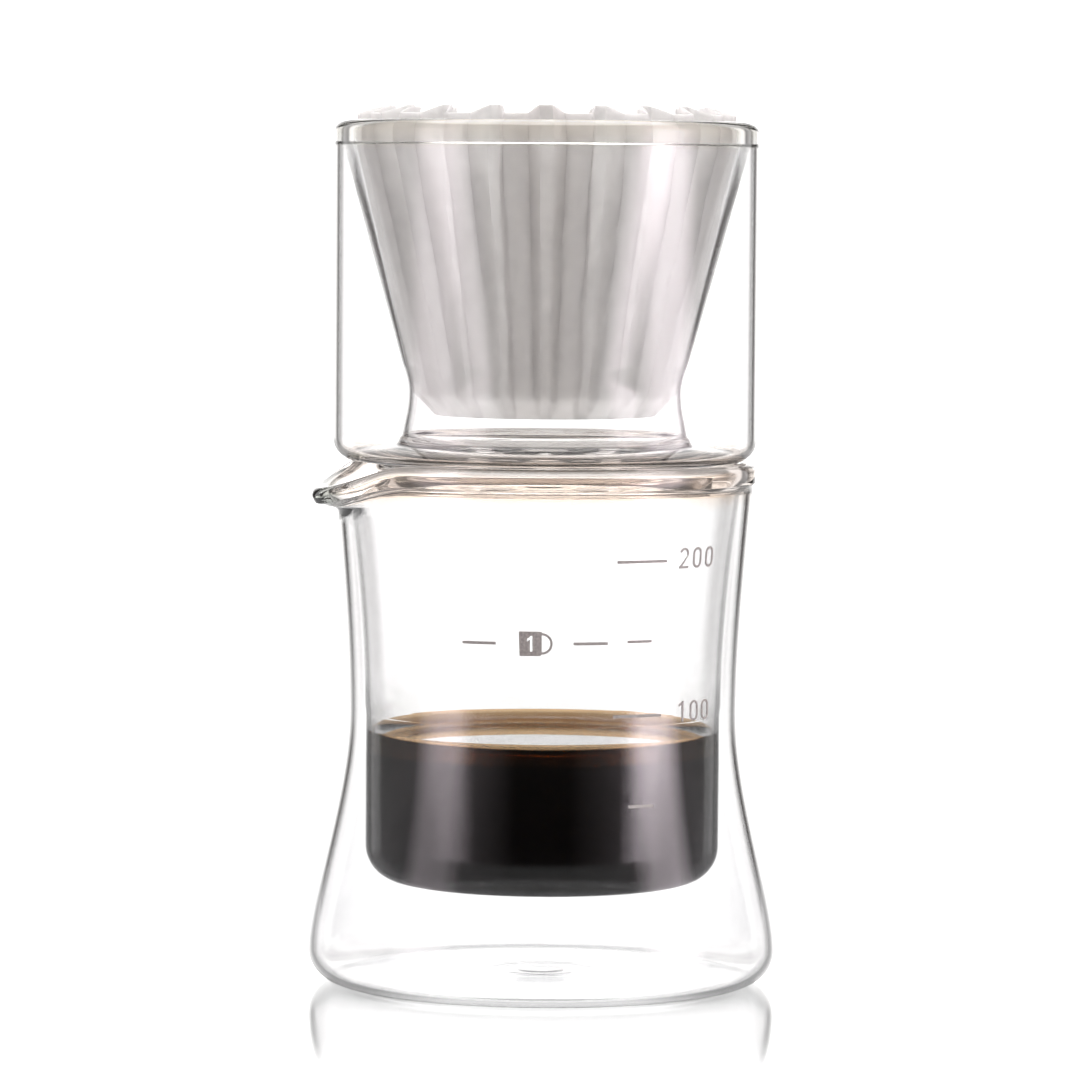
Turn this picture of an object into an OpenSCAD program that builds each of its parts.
// Double-wall glass pour-over coffee set, in millimetres.
// A waisted hourglass server stands on the table with coffee in it, and a dripper
// with a pleated paper filter stands on the server's rim.
// Each glass vessel is an outer shell and an inner wall, fused together at the lip.
// The origin is the centre of the base on the table, and +Z is up.
// The front, with the printed scale, faces -Y, and the spout points to -X.

/* [Server] */
// Height of the server, from the table to its rim
server_h = 100.5; // [90:0.5:140]
// Radius of the rim, shared by the server and the dripper
rim_r = 40.6; // [36:0.1:50]
// Largest radius, just above the base
belly_r = 45; // [41:0.5:58]
// Radius of the rounding between the base and the side
base_corner = 6.6; // [3:0.1:9]
// Height of the waist above the table
waist_z = 52; // [40:1:60]
// Thickness of the server's outer shell
shell_wall = 1.3; // [0.8:0.1:2]
// Radius of the shallow hollow under the base
punt_r = 24; // [12:0.5:30]
// Rise of the hollow under the base
punt_rise = 1.2; // [0.6:0.1:2.4]
// Radius of the bead of glass that seals the base
seal_r = 4.2; // [2:0.1:6]
// Clearance from the bead down to the table
seal_gap = 0.3; // [0.1:0.05:0.5]

/* [Inner vessel] */
// Outer radius of the straight lower part of the inner vessel
vessel_r = 34; // [28:0.1:36]
// Height of the vessel's underside above the table
vessel_lift = 19.4; // [12:0.1:26]
// Radius of the vessel's bottom corner
vessel_corner = 7; // [4:0.1:12]
// Wall thickness of the inner vessel
vessel_wall = 1.5; // [1:0.1:2.2]
// Gap between the vessel and the outer shell at the waist
waist_gap = 2.1; // [1.6:0.1:5]
// Gap between the two walls just under the fused rim
neck_gap = 0.3; // [0.2:0.05:0.8]
// Depth of the coffee in the vessel
fill_depth = 27.5; // [8:0.5:45]
// Gap that keeps the solid of the coffee clear of the glass
coffee_gap = 0.05; // [0.02:0.01:0.1]

/* [Lip and spout] */
// Width of the fused lip, from its inner to its outer side
lip_w = 3.4; // [2.8:0.1:4.6]
// Height of the fused lip
lip_h = 4.3; // [3.4:0.1:6]
// Rounding of the lip's outer edge
lip_outer_round = 2; // [1:0.1:2.2]
// Rounding of the lip's inner edge
lip_inner_round = 0.8; // [0.4:0.1:1.2]
// Overhang of the lip past the server's wall
lip_overhang = 0.5; // [0.2:0.1:1]
// How far the spout's edge drops below the rim
spout_dip = 4.9; // [2:0.1:6]
// How far the spout's edge is drawn outwards
spout_pull = 4.4; // [2:0.1:7]
// Half of the angle that the spout takes up on the rim
spout_half = 40; // [28:1:50]
// Angle from -X towards the front that the spout points
spout_turn = 11; // [0:1:20]
// Depth below the rim at which the wall starts to bend out into the spout
spout_root = 10.5; // [9:0.5:16]

/* [Printed scale] */
// Heights of the 50, 100, 150 and 200 marks above the vessel's floor
mark_heights = [16.6, 33.4, 47.4, 62.4]; // [8:0.1:64]
// Height of the one-cup line above the vessel's floor
cup_height = 47.2; // [30:0.1:60]
// Thickness of a printed line
mark_line = 0.55; // [0.3:0.05:1]
// Thickness of the fired print
print_t = 0.12; // [0.08:0.01:0.2]
// Angle of the marks' middle, from the front towards +X
mark_turn = 28.3; // [20:0.1:32]
// Half angle of the long marks
long_mark_half = 7.8; // [5:0.1:9]
// Half angle of the short marks
short_mark_half = 3.9; // [2:0.1:5]
// Angles of the 100's and the 200's middle, from the front towards +X
number_turns = [49.3, 47.4]; // [46:0.1:60]
// Height of the digits
digit_h = 3.9; // [3:0.1:5]
// Width of a digit
digit_w = 2.3; // [1.6:0.1:2.6]
// Angle between two neighbouring digits
digit_step = 5.2; // [4.6:0.1:7]
// Width of a digit's stroke
digit_stroke = 0.44; // [0.3:0.02:0.6]
// Angle of the one-cup mark's middle, from the front towards +X
cup_turn = -2.5; // [-8:0.1:0]
// Width of the mug in the one-cup mark
mug_w = 4.3; // [3:0.1:5]
// Height of the mug in the one-cup mark
mug_h = 4.6; // [3:0.1:6]
// Angle from the one-cup mark's middle to the near ends of its dashes
dash_near = 11; // [9:0.1:13]
// Angle from the one-cup mark's middle to the far ends of its dashes
dash_far = 20.9; // [15:0.1:22]

/* [Dripper] */
// Height of the dripper, from the server's rim to its own rim
dripper_h = 65; // [55:0.5:80]
// Wall thickness of the dripper's outer shell
dripper_wall = 1.2; // [0.8:0.1:1.6]
// Wall thickness of the dripper's inner cone
cone_wall = 1.2; // [0.8:0.1:1.4]
// Thickness of the dripper's floor
floor_t = 2.5; // [1.6:0.1:3.5]
// Outer rounding between the dripper's floor and its side
dripper_corner = 4; // [1.5:0.1:5]
// Clearance between the dripper's rounded corner and the server's rim
seat_gap = 0.15; // [0.1:0.05:0.3]
// Inner radius of the throat
throat_r = 25.6; // [20:0.1:28]
// Height of the throat above the dripper's underside
throat_rise = 13; // [10:0.1:16]
// How much the cone's foot is wider than the throat
foot_flare = 1.7; // [0.5:0.1:3]
// Height above the throat at which the cone's straight side starts
throat_blend = 5.5; // [3:0.1:8]
// How much the cone has widened where its straight side starts
throat_spread = 1.2; // [0.4:0.1:2]
// Number of drain holes in the floor
drain_count = 3; // [1:1:5]
// Radius of a drain hole
drain_r = 2.5; // [1.5:0.1:3]
// Radius of the circle that the drain holes lie on
drain_circle_r = 11; // [8:0.1:14]
// Clearance from the locating ring to the server's mouth
ring_gap = 4.9; // [1:0.1:8]
// Wall of the locating ring
ring_wall = 1.5; // [1:0.1:2.5]
// Depth of the locating ring below the dripper's floor
ring_h = 2.5; // [1.5:0.1:4]

/* [Paper filter] */
// Number of pleats
pleats = 20; // [12:1:24]
// Thickness of the paper
paper_t = 0.3; // [0.2:0.05:0.5]
// Clearance from the pleats to the glass
paper_gap = 0.3; // [0.2:0.05:0.6]
// Depth of the pleats at the filter's rim
pleat_depth = 5.2; // [3:0.1:6]
// Depth of the pleats where they meet the bottom corner
pleat_depth_low = 2.2; // [1:0.1:3]
// Share of a pleat's pitch that its outer flat takes up
crest_share = 0.43; // [0.3:0.01:0.5]
// Share of a pleat's pitch that its inner flat takes up
valley_share = 0.29; // [0.2:0.01:0.36]
// How far the filter's rim stands above the dripper's rim
paper_stand = 3; // [1:0.1:6]
// How far the filter's base hangs below the throat
paper_drop = 4.3; // [2:0.1:6]
// How much narrower the filter's flat base is than the throat
paper_corner = 4.1; // [2:0.1:6]

/* [Hidden] */
$fn = 96;

// Steps in an arc, in a curve and across the spout
arc_steps = 8;
curve_steps = 12;
spout_steps = 20;

// Handles that shape the curves of the server's side and of the cone's foot
belly_handle = 9.5;
waist_handle = 16;
handle_share = 0.33;
neck_lean = 1.2;
foot_handle = 3;
throat_handle = 5;
// Width of the slope round the hollow under the base
punt_slope = 3;
// How much longer the vessel keeps its full gap on the way up to the rim
gap_power = 3;
// How far the numbers stand above the middle of their marks
number_lift = 0.4;
// Slant of each side of the mug, and the radius of its handle
mug_taper = 0.15;
handle_r = 0.44 * mug_h;

waist_r = vessel_r + waist_gap + shell_wall;
mouth_r = rim_r - lip_w;
neck_r = rim_r - lip_overhang;
seam_z = server_h - lip_h;
spout_z = server_h - spout_root;
vessel_floor = vessel_lift + vessel_wall;
coffee_z = vessel_floor + fill_depth;

// The rim meets the dripper's corner where its flat top starts, a little inside the corner
seat_in = max(0, mouth_r + lip_inner_round - (rim_r - dripper_corner));
seat_rise = dripper_corner - sqrt(dripper_corner * dripper_corner - seat_in * seat_in);
dripper_z = server_h + seat_gap - seat_rise;
dripper_floor_z = dripper_z + floor_t;
dripper_top = dripper_z + dripper_h;
dripper_seam_z = dripper_top - lip_h;
throat_z = dripper_z + throat_rise;
foot_r = throat_r + foot_flare;
disc_r = foot_r + cone_wall;
ring_r = mouth_r - ring_gap;
paper_top = dripper_top + paper_stand;
paper_base_z = throat_z - paper_drop;
paper_base_r = throat_r - paper_gap - paper_corner;
pitch = 360 / pleats;

// Points of a circular arc about a centre, from angle a0 to angle a1
function arc(centre, r, a0, a1, n = arc_steps) =
    [for (i = [0:n]) let (a = a0 + (a1 - a0) * i / n) centre + r * [cos(a), sin(a)]];

// Points of a cubic curve, without its first point so that stretches can be chained
function curve(a, b, c, d, n = curve_steps) =
    [for (i = [1:n]) let (t = i / n, u = 1 - t)
        u * u * u * a + 3 * u * u * t * b + 3 * u * t * t * c + t * t * t * d];

function unit(v) = v / norm(v);
function left_of(v) = [-v.y, v.x];

// Normal of an open path at point i, lengthened at corners so that a wall keeps its thickness
function path_normal(path, i) =
    let (
        last = len(path) - 1,
        before = left_of(unit(path[max(i, 1)] - path[max(i, 1) - 1])),
        after = left_of(unit(path[min(i, last - 1) + 1] - path[min(i, last - 1)]))
    )
    (before + after) / (1 + before * after);

// An open path moved to its left by d
function moved(path, d) = [for (i = [0:len(path) - 1]) path[i] + d * path_normal(path, i)];

function reversed(list) = [for (i = [len(list) - 1:-1:0]) list[i]];
function without_last(list) = [for (i = [0:len(list) - 2]) list[i]];

// Radius of an outline at height z, where the outline climbs all the way
function radius_at(path, z) =
    let (k = [for (i = [1:len(path) - 1]) if (path[i].y >= z && path[i - 1].y < z) i][0])
    path[k - 1].x + (path[k].x - path[k - 1].x)
        * (z - path[k - 1].y) / (path[k].y - path[k - 1].y);

// Outside of the server's shell, from the axis along the base and up to the seam
shell_side = concat(
    arc([belly_r - base_corner, base_corner], base_corner, -90, 0),
    curve([belly_r, base_corner], [belly_r, base_corner + belly_handle],
        [waist_r, waist_z - waist_handle], [waist_r, waist_z]),
    curve([waist_r, waist_z], [waist_r, waist_z + handle_share * (seam_z - waist_z)],
        [neck_r - neck_lean, seam_z - handle_share * (seam_z - waist_z)], [neck_r, seam_z])
);
shell_outside = concat([[0, punt_rise], [punt_r - punt_slope, punt_rise], [punt_r, 0]], shell_side);
shell_inside = concat(without_last(moved(shell_outside, shell_wall)),
    [[neck_r - shell_wall, seam_z]]);

// Gap between the two walls at height z above the waist, which closes towards the rim
function vessel_gap(z) = neck_gap + (waist_gap - neck_gap)
    * (1 - pow((z - waist_z) / (seam_z - waist_z), gap_power));

// Outside and inside of the inner vessel, from the axis up to the seam
vessel_top_r = neck_r - shell_wall - neck_gap;
vessel_outside = concat(
    [[0, vessel_lift]],
    arc([vessel_r - vessel_corner, vessel_lift + vessel_corner], vessel_corner, -90, 0),
    [[vessel_r, waist_z]],
    [for (p = shell_inside) if (p.y > waist_z + shell_wall) [p.x - vessel_gap(p.y), p.y]]
);
vessel_inside = concat(without_last(moved(vessel_outside, vessel_wall)),
    [[vessel_top_r - vessel_wall, seam_z]]);

// Inside of the dripper's cone, from its foot up to the seam
cone_inside = concat(
    [[foot_r, dripper_floor_z]],
    curve([foot_r, dripper_floor_z], [foot_r, dripper_floor_z + foot_handle],
        [throat_r, throat_z - throat_handle], [throat_r, throat_z]),
    curve([throat_r, throat_z], [throat_r, throat_z + handle_share * throat_blend],
        [throat_r + throat_spread / 2, throat_z + (1 - handle_share) * throat_blend],
        [throat_r + throat_spread, throat_z + throat_blend], arc_steps),
    [[mouth_r, dripper_seam_z]]
);
cone_outside = concat([[disc_r, dripper_floor_z]],
    [for (i = [1:len(cone_inside) - 2]) cone_inside[i] - cone_wall * path_normal(cone_inside, i)],
    [[mouth_r + cone_wall, dripper_seam_z]]);

// Closed outline of the fused lip, whose inner side is at inner_r at its foot
function lip_outline(inner_r, foot, top) = concat(
    [[inner_r, foot], [rim_r, foot]],
    arc([rim_r - lip_outer_round, top - lip_outer_round], lip_outer_round, 0, 90),
    arc([mouth_r + lip_inner_round, top - lip_inner_round], lip_inner_round, 90, 180)
);

// The fused wall where the spout is drawn out of it, from the bend up and over the lip
spout_outline = concat(
    [[radius_at(vessel_inside, spout_z), spout_z], [radius_at(shell_outside, spout_z), spout_z]],
    [for (p = shell_outside) if (p.y > spout_z && p.y < seam_z) p],
    [[neck_r, seam_z], [rim_r, seam_z]],
    arc([rim_r - lip_outer_round, server_h - lip_outer_round], lip_outer_round, 0, 90),
    arc([mouth_r + lip_inner_round, server_h - lip_inner_round], lip_inner_round, 90, 180),
    reversed([for (p = vessel_inside) if (p.y > spout_z) p])
);

// How strongly the rim is drawn at an angle from the spout's middle, and at a height
function spout_share(a) = (1 + cos(180 * a / spout_half)) / 2;
function spout_rise(z) = let (t = min(1, (z - spout_z) / (spout_root - lip_outer_round)))
    t * t * (3 - 2 * t);

// A point of the spout's outline, drawn outwards and down at angle a
function spout_point(p, a) = let (
        share = spout_share(a),
        rise = spout_rise(p.y),
        r = p.x + spout_pull * share * share * rise,
        z = p.y - spout_dip * share * rise
    )
    [r * cos(a), r * sin(a), z];

// Faces that join rings of n points, with flat caps at both ends
function ring_faces(rings, n) = concat(
    [for (k = [0:rings - 2], i = [0:n - 1]) let (j = (i + 1) % n)
        each [[k * n + i, k * n + j, (k + 1) * n + j], [k * n + i, (k + 1) * n + j, (k + 1) * n + i]]],
    [[for (i = [n - 1:-1:0]) i], [for (i = [0:n - 1]) (rings - 1) * n + i]]
);

// Radius of the paper's outer folds at height z
function crest_radius(z) = z <= paper_base_z ? paper_base_r
    : z <= throat_z ? paper_base_r + paper_corner * sin(90 * (z - paper_base_z) / paper_drop)
    : z < dripper_seam_z ? min(radius_at(cone_inside, z), mouth_r) - paper_gap
    : mouth_r - paper_gap;
function fold_depth(z) = z <= paper_base_z ? 0
    : z <= throat_z ? pleat_depth_low * (z - paper_base_z) / paper_drop
    : pleat_depth_low + (pleat_depth - pleat_depth_low) * (z - throat_z) / (paper_top - throat_z);

// One ring of the pleated paper at height z, as a flat closed outline
function pleat_ring(z) = let (crest = crest_radius(z), valley = crest - fold_depth(z))
    [for (i = [0:pleats - 1], corner = [[-1, valley_share, 0], [1, valley_share, 0],
            [-1, crest_share, 1], [1, crest_share, 1]])
        let (
            a = pitch * (i + corner[2] / 2 + corner[0] * corner[1] / 2),
            r = corner[2] == 1 ? crest : valley
        )
        r * [cos(a), sin(a)]];

// A closed outline moved to its left by d
function ring_moved(ring, d) = let (n = len(ring))
    [for (i = [0:n - 1]) let (
            before = left_of(unit(ring[i] - ring[(i + n - 1) % n])),
            after = left_of(unit(ring[(i + 1) % n] - ring[i]))
        )
        ring[i] + d * (before + after) / (1 + before * after)];

function lifted(ring, z) = [for (p = ring) [p.x, p.y, z]];

paper_levels = concat(
    [for (k = [0:3]) paper_base_z + paper_drop * k / 3],
    [throat_z + throat_blend],
    [for (k = [1:2]) throat_z + throat_blend + (dripper_seam_z - throat_z - throat_blend) * k / 2],
    [paper_top]
);

// A ring sector that reaches from the axis outwards, used to cut or keep a part of a wall
module sector(from, to, low, high) {
    rotate([0, 0, from]) rotate_extrude(angle = to - from) translate([0, low])
        square([belly_r + 10, high - low]);
}

// The part of the two walls that the spout takes the place of
module spout_window() {
    sector(180 + spout_turn - spout_half, 180 + spout_turn + spout_half, spout_z, server_h);
}

module server_outer_shell() {
    color("gainsboro", 0.35) difference() {
        rotate_extrude() polygon(concat(shell_outside, reversed(shell_inside)));
        spout_window();
    }
}

module server_inner_vessel() {
    color("lightcyan", 0.35) difference() {
        rotate_extrude() polygon(concat(vessel_outside, reversed(vessel_inside)));
        spout_window();
    }
}

module server_lip() {
    color("darkseagreen", 0.6) rotate([0, 0, 180 + spout_turn + spout_half])
        rotate_extrude(angle = 360 - 2 * spout_half)
            polygon(lip_outline(vessel_top_r - vessel_wall, seam_z, server_h));
}

module pouring_spout() {
    n = len(spout_outline);
    points = [for (k = [0:spout_steps], p = spout_outline)
        spout_point(p, spout_half * (2 * k / spout_steps - 1))];
    color("darkseagreen", 0.6) rotate([0, 0, 180 + spout_turn])
        polyhedron(points, ring_faces(spout_steps + 1, n));
}

// Bead of glass that closes the hole in the base, under the hollow and clear of the table
module base_seal_tip() {
    color("darkseagreen", 0.6) rotate_extrude() polygon(concat([[0, punt_rise]],
        [for (i = [0:arc_steps]) let (a = 90 * i / arc_steps)
            [seal_r * sin(a), punt_rise - (punt_rise - seal_gap) * cos(a)]]));
}

module coffee() {
    wetted = moved(vessel_inside, coffee_gap);
    color("saddlebrown") intersection() {
        rotate_extrude() polygon(concat(wetted, [[0, wetted[len(wetted) - 1].y]]));
        cylinder(r = rim_r, h = coffee_z);
    }
}

// A thin layer all over the outside of the server's side, which the prints are cut from
module print_layer() {
    side = [for (p = shell_side) if (p.y >= base_corner) p];
    rotate_extrude() polygon(concat(side, reversed([for (p = side) p + [print_t, 0]])));
}

module printed_line(turn, half, z) {
    intersection() {
        print_layer();
        sector(turn - half - 90, turn + half - 90, z - mark_line / 2, z + mark_line / 2);
    }
}

// A flat shape stamped on the server's side, facing outwards
module stamped(turn, z) {
    intersection() {
        print_layer();
        rotate([0, 0, turn]) translate([0, 0, z]) rotate([90, 0, 0])
            linear_extrude(belly_r + 10) children();
    }
}

module scale_ticks() {
    color("gray") for (i = [0:3])
        printed_line(mark_turn, i % 2 == 0 ? short_mark_half : long_mark_half,
            vessel_floor + mark_heights[i]);
}

module bar(w, h) {
    square([w, h], center = true);
}

module digit_zero(w, h, s) {
    r = w / 2;
    straight = h / 2 - r;
    difference() {
        union() {
            bar(w, 2 * straight);
            for (side = [-1, 1]) translate([0, side * straight]) circle(r);
        }
        union() {
            bar(w - 2 * s, 2 * straight);
            for (side = [-1, 1]) translate([0, side * straight]) circle(r - s);
        }
    }
}

module digit_one(w, h, s) {
    translate([w * 0.1, 0]) bar(s, h);
    polygon([[w * 0.1, h / 2], [w * 0.1, h / 2 - s * 1.3], [-w * 0.32, h / 2 - s * 2.4],
        [-w * 0.32, h / 2 - s * 1.3]]);
}

module digit_two(w, h, s) {
    r = w / 2;
    low = -h / 2;
    translate([0, low + s / 2]) bar(w, s);
    polygon([[-r, low + s / 2], [-r + s * 1.3, low + s / 2], [r - s * 0.1, h / 2 - r - s * 0.6],
        [r - s * 0.9, h / 2 - r - s]]);
    translate([0, h / 2 - r]) difference() {
        circle(r);
        circle(r - s);
        polygon([[0, 0], [-w, 0.35 * w], [-w, -w], [w, -w], [w, -0.3 * w]]);
    }
}

module numeral(first, turn, z) {
    stamped(turn - digit_step, z) {
        if (first == 1) digit_one(digit_w, digit_h, digit_stroke);
        if (first == 2) digit_two(digit_w, digit_h, digit_stroke);
    }
    for (i = [0, 1]) stamped(turn + i * digit_step, z) digit_zero(digit_w, digit_h, digit_stroke);
}

module scale_numerals() {
    color("gray") {
        numeral(1, number_turns[0], vessel_floor + mark_heights[1] + number_lift);
        numeral(2, number_turns[1], vessel_floor + mark_heights[3] + number_lift);
    }
}

// A plain mug with a 1 left open in it, between two dashes
module mug_shape() {
    side = mug_w / 2;
    top = mug_h / 2;
    difference() {
        union() {
            polygon([[-side, top], [side, top], [side - mug_taper, -top], [mug_taper - side, -top]]);
            translate([side, 0]) circle(handle_r);
        }
        difference() {
            translate([side, 0]) circle(handle_r - digit_stroke);
            translate([-side, -top]) square([mug_w, mug_h]);
        }
        digit_one(digit_w * 0.8, mug_h * 0.64, digit_stroke);
    }
}

module one_cup_mark() {
    z = vessel_floor + cup_height;
    color("gray") {
        stamped(cup_turn - 1.2, z) mug_shape();
        for (side = [-1, 1])
            printed_line(cup_turn + side * (dash_near + dash_far) / 2, (dash_far - dash_near) / 2, z);
    }
}

module dripper_outer_shell() {
    r = dripper_corner;
    inner_r = max(0.8, r - dripper_wall);
    inside_r = rim_r - dripper_wall;
    color("gainsboro", 0.35) rotate_extrude() polygon(concat(
        [[disc_r, dripper_floor_z], [disc_r, dripper_z]],
        arc([rim_r - r, dripper_z + r], r, -90, 0),
        [[rim_r, dripper_seam_z], [inside_r, dripper_seam_z]],
        arc([inside_r - inner_r, dripper_floor_z + inner_r], inner_r, 0, -90)
    ));
}

module dripper_inner_cone() {
    color("lightcyan", 0.35) rotate_extrude() polygon(concat(cone_outside, reversed(cone_inside)));
}

module dripper_floor() {
    color("lightblue", 0.5) translate([0, 0, dripper_z]) difference() {
        cylinder(r = disc_r, h = floor_t);
        for (i = [0:drain_count - 1]) rotate([0, 0, 90 + i * 360 / drain_count])
            translate([drain_circle_r, 0, -1]) cylinder(r = drain_r, h = floor_t + 2);
    }
}

module dripper_lip() {
    color("darkkhaki", 0.6) rotate_extrude()
        polygon(lip_outline(mouth_r, dripper_seam_z, dripper_top));
}

module locating_ring() {
    r = ring_wall / 2;
    color("lightblue", 0.5) rotate_extrude() polygon(concat(
        [[ring_r - ring_wall, dripper_z]],
        arc([ring_r - r, dripper_z - ring_h + r], r, 180, 360),
        [[ring_r, dripper_z]]
    ));
}

module paper_filter() {
    n = pleats * 4;
    count = len(paper_levels);
    outer = [for (z = paper_levels) each lifted(pleat_ring(z), z)];
    inner = [for (k = [count - 1:-1:0]) let (z = paper_levels[k])
        each lifted(ring_moved(pleat_ring(z), paper_t), k == 0 ? z + paper_t : z)];
    color("thistle") polyhedron(concat(outer, inner), ring_faces(2 * count, n));
}

server_outer_shell();
server_inner_vessel();
server_lip();
pouring_spout();
base_seal_tip();
coffee();
scale_ticks();
scale_numerals();
one_cup_mark();
dripper_outer_shell();
dripper_inner_cone();
dripper_floor();
dripper_lip();
locating_ring();
paper_filter();
